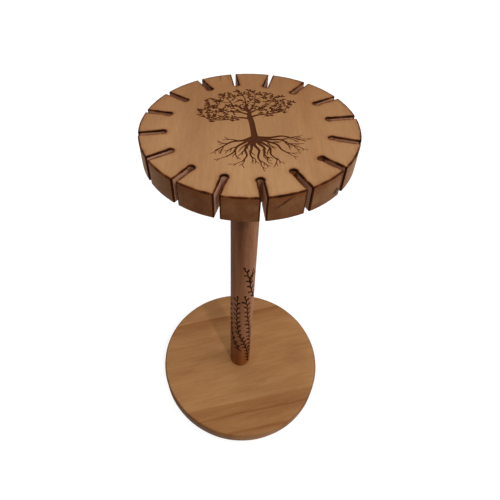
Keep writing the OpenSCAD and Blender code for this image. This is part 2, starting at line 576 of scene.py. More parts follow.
# Their leaves: the gap between two, the stalk, its half-widths and how it leans along the stem,
# and each leaf's length, width, range of sizes and how far it starts back along its stalk
VINE_LEAF_GAP = 4.6
VINE_STALK = 1.2
VINE_STALK_R = (0.4, 0.3)
VINE_LEAN = (0.8, 1.6)
VINE_LEAF_L = 4.5
VINE_LEAF_W = 2.3
VINE_LEAF_SIZE = (0.75, 1.2)
VINE_LEAF_BACK = 0.3


def vine_drawing():
    rng = random.Random(VINE_SEED)
    around = math.radians(1) * POST_R
    left = (VINE_SEAM - 360) * around
    drawing = Drawing((left, VINE_LOW), (left + 360 * around, VINE_HIGH))
    for points, half_width in VINES:
        path = smooth_curve([(angle * around, z) for angle, z in points], VINE_PATH_POINTS)
        joints = spaced(path, VINE_LEAF_GAP, math.floor)
        ways = np.gradient(joints, axis=0)
        ways /= np.linalg.norm(ways, axis=1)[:, None]
        sides = np.where(np.arange(len(joints)) % 2, 1, -1)
        out = np.stack([-ways[:, 1], ways[:, 0]], 1) * sides[:, None]
        stem = smooth_curve(joints + VINE_ZIGZAG * out, VINE_STEM_POINTS)
        drawing.stroke(stem, np.linspace(half_width, VINE_TIP_R, len(stem)))
        out[-1] = 0
        for joint, way, aside in zip(joints[1:], ways[1:], out[1:]):
            lean = way * rng.uniform(*VINE_LEAN) + aside
            angle = math.atan2(lean[1], lean[0])
            start = joint + VINE_ZIGZAG * aside
            base = start + VINE_STALK * np.array([math.cos(angle), math.sin(angle)])
            drawing.stroke([start, base], VINE_STALK_R)
            size = rng.uniform(*VINE_LEAF_SIZE)
            base = base - (base - start) * VINE_LEAF_BACK
            drawing.leaf(base, angle, VINE_LEAF_L * size, VINE_LEAF_W * size)
    return drawing


def burned(drawing, places, heat=1.0):
    """How deep the burned lines are at each place, and how dark the wood is: 1 is brown, 2 is black."""
    distance = drawing.at(places)
    for level in BURN_LEVELS:
        distance[np.abs(distance - level) < LEVEL_SNAP] = level
    depth = BURN_DEPTH * np.clip(-distance / BURN_SLOPE, 0, 1)
    return depth, heat * np.clip(1 - distance / BURN_HALO, 0, 1)


def within(loop, spots):
    """Which spots lie inside a closed loop."""
    x, y = spots.T
    inside = np.zeros(len(spots), bool)
    for (ax, ay), (bx, by) in zip(loop, np.roll(loop, -1, 0)):
        spans = (ay > y) != (by > y)
        inside[spans] ^= x[spans] < ax + (y[spans] - ay) * (bx - ax) / (by - ay)
    return inside


def sheet(border, hole=None, loops=(), lines=()):
    """Triangles between a border and a hole, with closed loops and open lines as edges among them."""
    points, edges = [], []
    closed = [border] + ([] if hole is None else [hole]) + list(loops)
    for path in closed + list(lines):
        first = len(points)
        points += [Vector(p) for p in path]
        edges += [(first + k, first + k + 1) for k in range(len(path) - 1)]
        if len(path) > 2:
            edges.append((len(points) - 1, first))
    places, _, triangles, _, _, _ = delaunay_2d_cdt(points, edges, [], 0, SHEET_WELD, False)
    places = np.array([tuple(p) for p in places])
    triangles = np.array(triangles)
    middles = places[triangles].mean(1)
    keep = within(border, middles)
    if hole is not None:
        keep &= ~within(hole, middles)
    return places, triangles[keep]


# Points of a flat sheet this near to each other become one
SHEET_WELD = 1e-5
# Gap between the charts of a piece's map, and how the map grows until they fit
CHART_GAP = 2.0
MAP_GROWTH = 1.03
# Points this near to each other, in metres, become one, and shorter edges go
WELD = 2e-6
SHORT_EDGE = 1e-6
# Edges sharper than this angle stay sharp in the shading
SHARP = 38.0


class Shell:
    """Points and faces of one piece, in mm, laid out flat in charts for its map.

    Each point also says how burned and how freshly sawn the wood is there."""

    def __init__(self):
        self.points = []
        self.burn = []
        self.sawn = []
        self.faces = []
        self.charts = []

    def add(self, points, burn=0.0, sawn=0.0):
        first = len(self.points)
        self.points += [tuple(p) for p in points]
        self.burn += list(np.broadcast_to(burn, len(points)))
        self.sawn += list(np.broadcast_to(sawn, len(points)))
        return list(range(first, len(self.points)))

    def ring(self, outline, z, burn=0.0, sawn=0.0):
        return self.add([(x, y, z) for x, y in outline], burn, sawn)

    def chart(self, faces, flat):
        """Faces that lie together on the map, and where each of their corners lies."""
        self.faces += faces
        self.charts.append(np.array([flat[corner] for face in faces for corner in face]))

    def flat(self, faces):
        """A chart of faces seen along Z."""
        self.chart(faces, {corner: self.points[corner][:2] for face in faces for corner in face})

    def triangles(self, places, triangles, points, burn=0.0):
        """A chart of triangles at given places, and the points that they are moved to."""
        made = self.add(points, burn)
        faces = [tuple(made[k] for k in triangle) for triangle in triangles]
        self.chart(faces, dict(zip(made, places)))

    def face(self, border, hole, z):
        """A flat face with a hole in it."""
        places, triangles = sheet(border, hole)
        self.triangles(places, triangles, np.insert(places, 2, z, 1))

    def pocket(self, mouth, low, floor, high):
        """The wall of a hole from its mouth to its floor, and the floor."""
        wall = [self.ring(mouth, low), self.ring(floor, high)]
        self.bands(wall)
        self.flat([tuple(wall[-1])])

    def bands(self, rings, parts=1):
        """Quads between rings, unrolled into equal parts."""
        points = np.array(self.points)
        count = len(rings[0])
        rows = points[np.array(rings)]
        down = np.append(0, np.cumsum(np.linalg.norm(np.diff(rows, axis=0), axis=2).mean(1)))
        steps = np.linalg.norm(np.roll(rows, -1, 1) - rows, axis=2).max(0)
        along = np.append(0, np.cumsum(steps))
        for part in range(parts):
            faces, flat = [], []
            for k in range(count * part // parts, count * (part + 1) // parts):
                n = (k + 1) % count
                for i, (a, b) in enumerate(zip(rings[:-1], rings[1:])):
                    faces.append((a[k], a[n], b[n], b[k]))
                    left, right, upper, lower = along[k], along[k + 1], down[i], down[i + 1]
                    flat += [(left, upper), (right, upper), (right, lower), (left, lower)]
            self.faces += faces
            self.charts.append(np.array(flat))

    def map(self):
        """The charts in rows on one square map, from the tallest to the lowest."""
        sizes = [np.ptp(chart, 0) + CHART_GAP for chart in self.charts]
        order = sorted(range(len(sizes)), key=lambda k: -sizes[k][1])
        width = max(size[0] for size in sizes)
        while True:
            spots, x, y, row = {}, 0, 0, 0
            for k in order:
                if x + sizes[k][0] > width:
                    x, y, row = 0, y + row, 0
                spots[k] = np.array([x, y])
                x, row = x + sizes[k][0], max(row, sizes[k][1])
            if y + row <= width:
                break
            width *= MAP_GROWTH
        moved = [chart - chart.min(0) + spots[k] + CHART_GAP / 2 for k, chart in enumerate(self.charts)]
        return np.vstack(moved) / width

    def piece(self, title, material, slot, node):
        mesh = bpy.data.meshes.new(title)
        mesh.from_pydata([[c * MM for c in p] for p in self.points], [], self.faces)
        for name, values in (("burn", self.burn), ("sawn", self.sawn)):
            mesh.attributes.new(name, "FLOAT", "POINT").data.foreach_set("value", values)
        mesh.uv_layers.new(name="OFBake").data.foreach_set("uv", self.map().ravel())
        bm = bmesh.new()
        bm.from_mesh(mesh)
        bmesh.ops.remove_doubles(bm, verts=bm.verts, dist=WELD)
        bmesh.ops.dissolve_degenerate(bm, edges=bm.edges, dist=SHORT_EDGE)
        bmesh.ops.recalc_face_normals(bm, faces=bm.faces)
        for face in bm.faces:
            face.smooth = True
        bm.to_mesh(mesh)
        bm.free()
        mesh.set_sharp_from_angle(angle=math.radians(SHARP))
        mesh.materials.append(material)
        piece = bpy.data.objects.new(title, mesh)
        bpy.context.scene.collection.objects.link(piece)
        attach(piece, "root")
        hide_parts(node)


def polar(radius, angles):
    return np.stack([radius * np.cos(angles), radius * np.sin(angles)], 1)


def arc(centre, radius, start, end, count):
    return np.array(centre) + polar(radius, np.linspace(start, end, count))


def round_angles(count):
    return np.linspace(0, 2 * math.pi, count, endpoint=False)


def turned(points, angle):
    c, s = math.cos(angle), math.sin(angle)
    return points @ np.array([[c, s], [-s, c]])


# Points round the post and its socket in the top
POST_SEGMENTS = 96
# Points on each stretch of the top's outline, and how far a corner's and a hole's burn reach along it
CORNER_POINTS = 7
SIDE_POINTS = 6
END_POINTS = 10
RIM_POINTS = 14
CORNER_BURN = 0.8
HOLE_BURN = 0.5
# From the face down over the edge: inset from the outline, drop below the face,
# and how burned a slot's edge, the rim's edge and the corners of a slot's mouth are there
TOP_EDGE = [
    (0.55, 0.0, 1.3, 0.9, 1.3),
    (0.5, 0.0, 1.4, 1.0, 1.4),
    (0.25, 0.067, 1.8, 1.2, 1.8),
    (0.067, 0.25, 1.9, 1.25, 1.9),
    (0.0, 0.5, 1.6, 0.95, 1.9),
    (0.0, 1.0, 0.5, 0.4, 1.7),
    (0.0, 1.6, 0.0, 0.15, 1.5),
    (0.0, 6.0, 0.0, 0.0, 1.4),
    (0.0, 12.0, 0.0, 0.0, 1.3),
    (0.0, TOP_T - 0.5, 0.0, 0.1, 1.2),
    (0.067, TOP_T - 0.25, 0.1, 0.3, 1.0),
    (0.25, TOP_T - 0.067, 0.1, 0.2, 0.6),
    (0.5, TOP_T, 0.0, 0.0, 0.2),
    (0.55, TOP_T, 0.0, 0.0, 0.0),
]
# How burned the face is at distances from the rim or a slot: a line, then a faint smoke stain
FACE_BURN = [(0.55, 1.3), (0.85, 0.85), (1.25, 0.25), (1.8, 0.13), (2.8, 0.05), (4.2, 0.0)]
# How smoked the walls of each slot are, and how much more its drilled hole is. Part of it is
# smoke from the burning and part is painted shade and light: some slots are darker or lighter
# by how their walls face the light. A value below 0 leaves the walls clean and only makes the
# hole less smoked.
SLOT_SMOKE_AND_SHADE = [0, 0.03, 0.1, 0.1, 0, 0.12, 0, -0.15, -0.12, -0.22, 0.1, -0.2, 0.02, 0.14, 0.2, -0.08]
HOLE_SMOKE = 0.27
# Chips along the rim's edge: the deepest, and how rare deep ones are
RIM_SEED = 11
RIM_CHIP = 0.14
CHIP_POWER = 3
# How the burner was pressed: waves across the face in X and Y with their phases, their strength and
# the lightest press
PRESS_WAVES = ((0.9, 0, 1.3), (0, 0.83, 0.4), (0.47, -0.47, 0), (0.13, 0.19, 2))
PRESS = 0.22
LIGHT_PRESS = 0.4


def slot_side(inset, hole_x):
    """One side of a slot along +X: its mouth's rounded corner, the side and half of the drilled end."""
    half_w = SLOT_W / 2
    across = half_w + CORNER_R
    along = math.sqrt((TOP_R - CORNER_R) ** 2 - across**2)
    mouth = arc((along, across), CORNER_R - inset, math.atan2(across, along), -math.pi / 2, CORNER_POINTS)
    if inset > CORNER_R:
        mouth = [(math.sqrt((TOP_R - inset) ** 2 - (half_w + inset) ** 2), half_w + inset)]
    reach = math.sqrt((SLOT_HOLE_R + inset) ** 2 - (half_w + inset) ** 2)
    stops = np.linspace(along - CORNER_BURN, hole_x + reach + HOLE_BURN, SIDE_POINTS)
    side = [(x, half_w + inset) for x in stops if x < mouth[-1][0]]
    start = math.atan2(half_w + inset, reach)
    return np.vstack([mouth, side, arc((hole_x, 0), SLOT_HOLE_R + inset, start, math.pi, END_POINTS)])


def slots():
    """The angle of each slot and how far its hole is from the middle of the top."""
    even = 2 * math.pi / len(SLOT_DRIFT)
    angles = [even * k + math.radians(drift) for k, drift in enumerate(SLOT_DRIFT)]
    return [(angle, TOP_R - SLOT_L - extra + SLOT_HOLE_R) for angle, extra in zip(angles, SLOT_EXTRA)]


def top_outline(inset):
    """The top's outline at an inset, counter-clockwise.

    Also which of its points are a slot's or a corner's, and how smoked the wall below each is, with painted
    shade or light on some slots."""
    outline, on_slot, on_corner, smoke_and_shade = [], [], [], []
    places = slots()
    others = places[1:] + [(places[0][0] + 2 * math.pi, 0)]
    for (angle, hole_x), (following, _), smoked_or_shaded in zip(places, others, SLOT_SMOKE_AND_SHADE):
        side = slot_side(inset, hole_x)
        slot = np.vstack([side * (1, -1), side[-2::-1]])
        corner = np.zeros(len(slot))
        corner[:CORNER_POINTS] = corner[-CORNER_POINTS:] = 1
        # Smoke on the slot's walls and hole, with painted shade or light on some slots.
        wall = np.full(len(slot), float(smoked_or_shaded))
        wall[len(side) - END_POINTS:len(side) + END_POINTS - 1] += HOLE_SMOKE
        mouth = math.atan2(side[0][1], side[0][0]) + CORNER_BURN / TOP_R
        rim = arc((0, 0), TOP_R - inset, angle + mouth, following - mouth, RIM_POINTS)
        outline += [turned(slot, angle), rim]
        on_slot += [np.ones(len(slot)), np.zeros(RIM_POINTS)]
        on_corner += [corner, np.zeros(RIM_POINTS)]
        smoke_and_shade += [wall, np.zeros(RIM_POINTS)]
    return np.vstack(outline), *(np.concatenate(flags) for flags in (on_slot, on_corner, smoke_and_shade))


def edge_distance(places):
    """How far each place on the top's face is from the rim or the nearest slot."""
    nearest = TOP_R - np.linalg.norm(places, axis=1)
    for angle, hole_x in slots():
        x, y = turned(places, -angle).T
        x = x - hole_x
        nearest = np.minimum(nearest, np.hypot(np.minimum(x, 0), y) - SLOT_W / 2)
        nearest = np.minimum(nearest, np.hypot(x, y) - SLOT_HOLE_R)
    return nearest


def by_hand(places):
    """How much harder than usual the burner was pressed at each place."""
    waves = sum(np.sin(places @ (x, y) + phase) for x, y, phase in PRESS_WAVES)
    return np.maximum(LIGHT_PRESS, 1 + PRESS * waves)


def top_board(material):
    shell = Shell()
    low, high = top_low[2], top_high[2]
    rng = np.random.default_rng(RIM_SEED)
    border, on_slot, on_corner, smoke_and_shade = top_outline(TOP_EDGE[0][0])
    chips = RIM_CHIP * rng.random(len(border)) ** CHIP_POWER * (on_slot == 0)
    rings = []
    for inset, drop, slot_burn, rim_burn, corner_burn in TOP_EDGE:
        outline = top_outline(inset)[0]
        burn = np.where(on_slot, slot_burn, rim_burn) * by_hand(outline)
        burn = np.maximum(burn, np.maximum(on_corner * corner_burn, smoke_and_shade * (inset == 0)))
        worn = 1 - chips * (0 < inset < TOP_EASE) / TOP_R
        sawn = on_slot * (1 - on_corner) * (inset == 0)
        rings.append(shell.ring(outline * worn[:, None], high - drop, burn, sawn))
    shell.bands(rings, len(SLOT_DRIFT))
    tree = tree_drawing()
    lines = [loop for level in BURN_LEVELS for loop in tree.outlines(level)]
    lines += [top_outline(gap)[0] for gap, _ in FACE_BURN[1:]]
    places, triangles = sheet(border, loops=lines)
    depth, burn = burned(tree, places)
    burn = np.maximum(burn, np.interp(edge_distance(places), *zip(*FACE_BURN)) * by_hand(places))
    shell.triangles(places, triangles, np.column_stack([places, high - depth]), burn)
    # The underside, with the blind socket for the post
    socket = polar(POST_R + GLUE_GAP, round_angles(POST_SEGMENTS))
    shell.face(border, socket, low)
    shell.pocket(socket, low, socket, low + SOCKET_DEPTH)
    shell.piece("top_board", material, "top_wood", "top_disc")


def dowel_post(material):
    shell = Shell()
    vines = vine_drawing()
    low, high = post_low[2], post_high[2]
    pilot_r = SCREW_R + PILOT_GAP
    pilot_top = screw_high[2] + PILOT_SPARE
    seam = math.radians(VINE_SEAM - 360)
    angles = seam + np.linspace(0, 2 * math.pi, POST_SEGMENTS + 1)

    def ring(radius, z):
        return shell.ring(polar(radius, angles[:-1]), z)

    chamfered = POST_R - POST_CHAMFER
    lower = [ring(pilot_r, pilot_top), ring(pilot_r, low), ring(chamfered, low)]
    lower += [ring(POST_R, low + POST_CHAMFER), ring(POST_R, VINE_LOW)]
    upper = [ring(POST_R, VINE_HIGH), ring(POST_R, high - POST_CHAMFER), ring(chamfered, high)]
    shell.bands(lower)
    shell.bands(upper)
    shell.flat([tuple(lower[0])])
    shell.flat([tuple(upper[-1])])
    # The stretch with the vines, drawn flat and wrapped round the post
    across = angles * POST_R
    border = [(u, VINE_LOW) for u in across] + [(u, VINE_HIGH) for u in across[::-1]]
    upright = [[(u, VINE_LOW), (u, VINE_HIGH)] for u in across[1:-1]]
    lines = [loop for level in BURN_LEVELS for loop in vines.outlines(level)]
    places, triangles = sheet(border, None, lines, upright)
    depth, burn = burned(vines, places, VINE_HEAT)
    wrapped = polar(POST_R - depth, places[:, 0] / POST_R)
    shell.triangles(places, triangles, np.column_stack([wrapped, places[:, 1]]), burn)
    shell.piece("dowel_post", material, "post_wood", "post")


# Points round the base, rings over its face, points down its upper and lower edges, and charts of its rim
BASE_SEGMENTS = 256
FACE_RINGS = 6
ROUND_POINTS = 8
EASE_POINTS = 5
RIM_CHARTS = 4
# How far the hand-sanded rim of the base strays from round: size, waves round the rim, phase.
# The sanding also took a little off all round.
BASE_WAVES = ((0.12, 3, 0.4), (0.07, 7, 1.9), (0.04, 16, 0.7))
BASE_SANDED = 0.2


def base_board(material):
    shell = Shell()
    low, high = base_low[2], base_high[2]
    bore_r, head_r = SCREW_R + SCREW_GAP, SCREW_HEAD_R + SCREW_GAP
    cone = low + SCREW_SINK + SCREW_HEAD_EDGE
    socket_r = POST_R + GLUE_GAP
    angles = round_angles(BASE_SEGMENTS)
    stray = sum(size * np.sin(waves * angles + phase) for size, waves, phase in BASE_WAVES) - BASE_SANDED
    faces = [(radius, high) for radius in np.linspace(socket_r, BASE_R - BASE_ROUND, FACE_RINGS)]
    quarter = math.pi / 2
    rim = list(arc((BASE_R - BASE_ROUND, high - BASE_ROUND), BASE_ROUND, quarter, 0, ROUND_POINTS))
    rim += list(arc((BASE_R - BASE_EASE, low + BASE_EASE), BASE_EASE, 0, -quarter, EASE_POINTS))
    bore = [(head_r, low), (head_r, cone), (bore_r, cone + head_r - bore_r), (bore_r, high - SOCKET_DEPTH)]
    socket = [(bore_r, high - SOCKET_DEPTH), (socket_r, high - SOCKET_DEPTH), (socket_r, high)]

    def turn(section):
        reach = [radius + stray * (radius > BASE_R / 2) for radius, _ in section]
        return [shell.ring(polar(radius, angles), z) for radius, (_, z) in zip(reach, section)]

    def quads(rings):
        pairs = list(zip(rings[:-1], rings[1:]))
        return [(a[k], a[k - 1], b[k - 1], b[k]) for a, b in pairs for k in range(BASE_SEGMENTS)]

    shell.flat(quads(turn(faces)))
    shell.bands(turn(rim), RIM_CHARTS)
    shell.flat(quads(turn([rim[-1], bore[0]])))
    shell.bands(turn(bore))
    shell.flat(quads(turn(socket[:2])))
    shell.bands(turn(socket[1:]))
    shell.piece("base_board", material, "base_wood", "base_disc")


# The screw's thread: its pitch, depth, start below the head and run-in, and its ridge's half-width as
# a share of the pitch
THREAD_PITCH = 2.2
THREAD_DEPTH = 0.7
THREAD_START = 5.0
THREAD_RUN_IN = 2.0
RIDGE_SHARE = 0.3
# Points round the screw, rings along it, and how far from its tip the last one is
SCREW_SEGMENTS = 40
SCREW_RINGS = 180
SCREW_POINT = 0.3
# The cross recess in its head, and the shares of its width and length that its floor has
RECESS_W = 1.2
RECESS_L = 5.0
RECESS_DEPTH = 1.7
RECESS_FLOOR_W = 0.6
RECESS_FLOOR_L = 0.45


def cross(width, length):
    """The outline of an upright cross."""
    side, end = width / 2, length / 2
    quarter = np.array([(end, -side), (end, side), (side, side)])
    return np.vstack([turned(quarter, k * math.pi / 2) for k in range(4)])


def wood_screw(material):
    shell = Shell()
    low, high = screw_low[2], screw_high[2]
    neck = low + SCREW_HEAD_EDGE + SCREW_HEAD_R - SCREW_R
    angles = round_angles(SCREW_SEGMENTS)
    head = polar(SCREW_HEAD_R, angles)
    rings = [shell.ring(head, z) for z in (low, low + SCREW_HEAD_EDGE)]
    for z in np.linspace(neck, high - SCREW_POINT, SCREW_RINGS):
        # A ridge that climbs one pitch in each turn, and shrinks with the tip
        turn = (z / THREAD_PITCH - angles / (2 * math.pi)) % 1
        ridge = np.clip(1 - np.abs(turn - 0.5) / RIDGE_SHARE, 0, 1)
        valley = THREAD_DEPTH * np.clip((z - neck - THREAD_START) / THREAD_RUN_IN, 0, 1)
        reach = (SCREW_R - valley * (1 - ridge)) * min(1, (high - z) / SCREW_TIP)
        rings.append(shell.ring(polar(reach, angles), z))
    shell.bands(rings)
    shell.flat([tuple(rings[-1])])
    # The head's face and its cross recess
    mouth = cross(RECESS_W, RECESS_L)
    floor = cross(RECESS_W * RECESS_FLOOR_W, RECESS_L * RECESS_FLOOR_L)
    shell.face(head, mouth, low)
    shell.pocket(mouth, low, floor, low + RECESS_DEPTH)
    shell.piece("wood_screw", material, "zinc_steel", "base_screw")


def paint(red, green, blue):
    """A colour given in sRGB steps, where 255 is full. A tone of painted light may have more, and then
    lightens.
    """
    steps = np.array([red, green, blue]) / 255
    linear = np.where(steps <= 0.04045, steps / 12.92, ((steps + 0.055) / 1.055) ** 2.4)
    return (*linear, 1.0)


class Paper:
    """Nodes of one material or world, each made and joined in one call."""

    def __init__(self, owner, shader="Principled BSDF"):
        self.owner = owner
        owner.use_nodes = True
        self.tree = owner.node_tree
        self.shader = self.tree.nodes[shader]

    def node(self, kind, inputs, **settings):
        made = self.tree.nodes.new("ShaderNode" + kind)
        for name, value in settings.items():
            setattr(made, name, value)
        for socket, value in inputs.items():
            self.set(made.inputs[socket], value)
        return made

    def set(self, socket, value):
        if isinstance(value, bpy.types.NodeSocket):
            self.tree.links.new(value, socket)
        else:
            socket.default_value = value

    def place(self):
        """Where a point of the piece is, in mm."""
        place = self.node("TexCoord", {}).outputs["Object"]
        return self.node("Mapping", {"Vector": place, "Scale": (1 / MM, 1 / MM, 1 / MM)}).outputs[0]

    def attribute(self, name):
        return self.node("Attribute", {}, attribute_name=name).outputs["Fac"]

    def length(self, vector):
        return self.node("VectorMath", {0: vector}, operation="LENGTH").outputs["Value"]

    def math(self, operation, a, b=0.0, c=0.0):
        return self.node("Math", {0: a, 1: b, 2: c}, operation=operation).outputs[0]

    def ramp(self, value, stops):
        """Greys at places from 0 to 1, in order."""
        made = self.node("ValToRGB", {0: value})
        elements = made.color_ramp.elements
        for position, _ in stops[2:]:
            elements.new(position)
        for element, (position, grey) in zip(elements, stops):
            element.position = position
            element.color = (grey, grey, grey, 1)
        return made.outputs[0]

    def noise(self, place, stretch, detail, roughness=0.5, reach=None):
        """Noise whose features are about 1 / stretch mm long on each axis."""
        scaled = self.node("Mapping", {"Vector": place, "Scale": stretch}).outputs[0]
        inputs = {"Vector": scaled, "Scale": 1.0, "Detail": detail, "Roughness": roughness}
        noise = self.node("TexNoise", inputs).outputs[0]
        return self.spread(noise, *reach) if reach else noise

    def spread(self, value, low, high, to_low=0.0, to_high=1.0):
        inputs = {"Value": value, "From Min": low, "From Max": high, "To Min": to_low, "To Max": to_high}
        return self.node("MapRange", inputs).outputs[0]

    def mix(self, factor, a, b, blend="MIX"):
        made = self.node("Mix", {0: factor, 6: a, 7: b}, data_type="RGBA", blend_type=blend)
        return made.outputs[2]

    def patch(self, place, centre, halves, turn=(0, 0, 0)):
        """How far a place is from the middle of an ellipsoid, on whose surface it is 1."""
        rotation = [math.radians(a) for a in turn]
        inputs = {"Vector": place, "Location": centre, "Rotation": rotation, "Scale": halves}
        return self.length(self.node("Mapping", inputs, vector_type="TEXTURE").outputs[0])

    def bump(self, height, strength, depth):
        """A normal that follows the height, with its depth in mm."""
        inputs = {"Height": height, "Strength": strength, "Distance": depth * MM}
        return self.node("Bump", inputs).outputs[0]

    def finish(self, **inputs):
        for name, value in inputs.items():
            self.set(self.shader.inputs[name.replace("_", " ")], value)
        return self.owner


# Noise in the wood, drawn out along the grain: its features per mm on each axis, its detail and
# roughness, and the range of it that is spread to 0 and 1, or to two more values
GRAIN = {
    "warp": ((0.005, 0.02, 0.02), 1, 0.5, (0.3, 0.7, -3, 3)),
    "ripple": ((0.015, 0.1, 0.1), 2, 0.5, (0.3, 0.7, -0.5, 0.5)),
    "cloud": ((0.012, 0.05, 0.05), 2, 0.5, (0.35, 0.7)),
    "fibres": ((0.15, 1.0, 1.0), 3, 0.65, (0.3, 0.7)),
    "pores": ((0.08, 3.2, 3.2), 2, 0.5, (0.6, 0.72)),
    "patches": ((0.12, 0.12, 0.12), 3, 0.5, (0.3, 0.7, 0.75, 1.05)),
    "speckle": ((0.6, 1.1, 1.1), 3, 0.6, (0.3, 0.7, 0.7, 1.2)),
}
STREAK = (3, 0.6, (0.32, 0.7))
# A growth ring from early to late wood, and how far bands across the grain reach
RING = [(0, 0), (0.5, 0.25), (0.82, 0.8), (0.92, 1), (1, 0)]
BAND_REACH = 120.0
# How much clouds and fibres deepen the wood, and how strongly pores and fresh saw cuts show
CLOUD_SHARE = 0.34
FIBRE_SHARE = 0.2
PORE_SHARE = 0.14
SAWN_SHARE = 0.85
SAWN = paint(214, 167, 139)
STAIN = paint(54, 23, 7)
# How squarely a face cuts the grain where end grain starts to show and where it is full
END_GRAIN = (0.2, 0.85)
# A stain or a patch of painted light or tone is full within a share of its half-lengths. A stain's edge
# frays by noise, by so many mm, up to a share of its half-lengths.
PATCH_CORE = 0.3
FRAY_NOISE = ((0.5, 0.5, 0.5), 3, 0.5, (0.3, 0.7, -1.0, 1.0))
FRAY = 2.0
FRAY_SHARE = 0.3
# Smoked, scorched and charred wood: how burned it is where the colour starts and where it is full
CHAR = [(0.0, 0.5, paint(120, 65, 26)), (0.35, 0.85, paint(70, 33, 9)), (0.95, 1.7, paint(26, 9, 2))]
# The wood's gloss, its roughness by how fibrous and burned it is, the fibres' share of its relief,
# and the relief's strength and depth in mm
WOOD_GLOSS = 0.05
WOOD_ROUGH = (0.0, 2.0, 0.5, 0.72)
FIBRE_RELIEF = 0.6
WOOD_BUMP = (0.35, 0.08)

# Marks are stains, scratches and a small knot: where each is, how it is turned, its half-lengths and
# its strength. Painted light and tones are lighter or darker parts, most of them painted light and
# shade: where each is, its half-lengths and its tone.
# FACE and SEAT are the heights of the top's face and of the base's.
FACE = top_high[2]
SEAT = base_high[2]
TOP_MARKS = [
    ((-12.5, 70.5, FACE), (0, 0, -6.7), (1.0, 7.5, 3), 0.5),
    ((-6.2, 71, FACE), (0, 0, 1.3), (1.2, 6.5, 3), 0.4),
    ((49.8, 56, FACE), (0, 0, 38), (3, 6, 3), 0.45),
    ((46.4, -60.2, FACE - 13.5), (0, 0, 0), (3.6, 3.6, 3.2), 1.0),
    ((11.2, -75.1, FACE - 4.9), (0, -36, 8), (8.5, 3, 1.1), 0.9),
    ((-16.3, -74.2, FACE), (0, 0, 0), (2, 2, 1.6), 0.9),
]
# Painted shade that darkens the top towards its back, where less light falls, then painted light that
# lightens its rim and slot walls at the front right, which face the light.
TOP_PAINTED_LIGHT = [
    ((0, 100, FACE), (400, 150, 14), paint(217, 202, 183)),
    ((34, -68, FACE - 10), (25, 25, 11), paint(276, 298, 310)),
]
BASE_MARKS = [
    ((74, -8, SEAT), (0, 0, 0), (20, 15, 4), 0.13),
    ((72, 9, SEAT), (0, 0, 3), (30, 4.5, 4), 0.14),
    ((-57, 0, SEAT), (0, 0, 6), (46, 6, 4), 0.1),
    ((-51, 48, SEAT), (0, 0, 7), (34, 9, 4), 0.1),
    ((21, -36, SEAT), (0, 0, 6), (10, 3, 4), 0.1),
]
# Painted shade that darkens the base towards its back, where the top shades it.
BASE_PAINTED_SHADE = [((0, 140, SEAT), (400, 100, 30), paint(227, 225, 225))]
POST_MARKS = [
    ((0, 0, SEAT), (0, 0, 0), (16, 16, 2.5), 0.9),
    ((-4.6, -11.6, 273), (0, 3, 0), (3.2, 5, 44), 0.34),
]
# Painted bounce light: the post's foot is warmer, as if lit by light off the base. Then the post is made
# lighter at its front left about the middle, and darker at its front right near the foot.
POST_PAINTED_LIGHT_AND_TONES = [
    ((0, 0, SEAT), (60, 60, 70), paint(241, 210, 155)),
    ((-7.2, -10.2, 145), (14, 14, 75), paint(291, 296, 291)),
    ((9.6, -8, 45), (9, 9, 38), paint(196, 188, 170)),
]


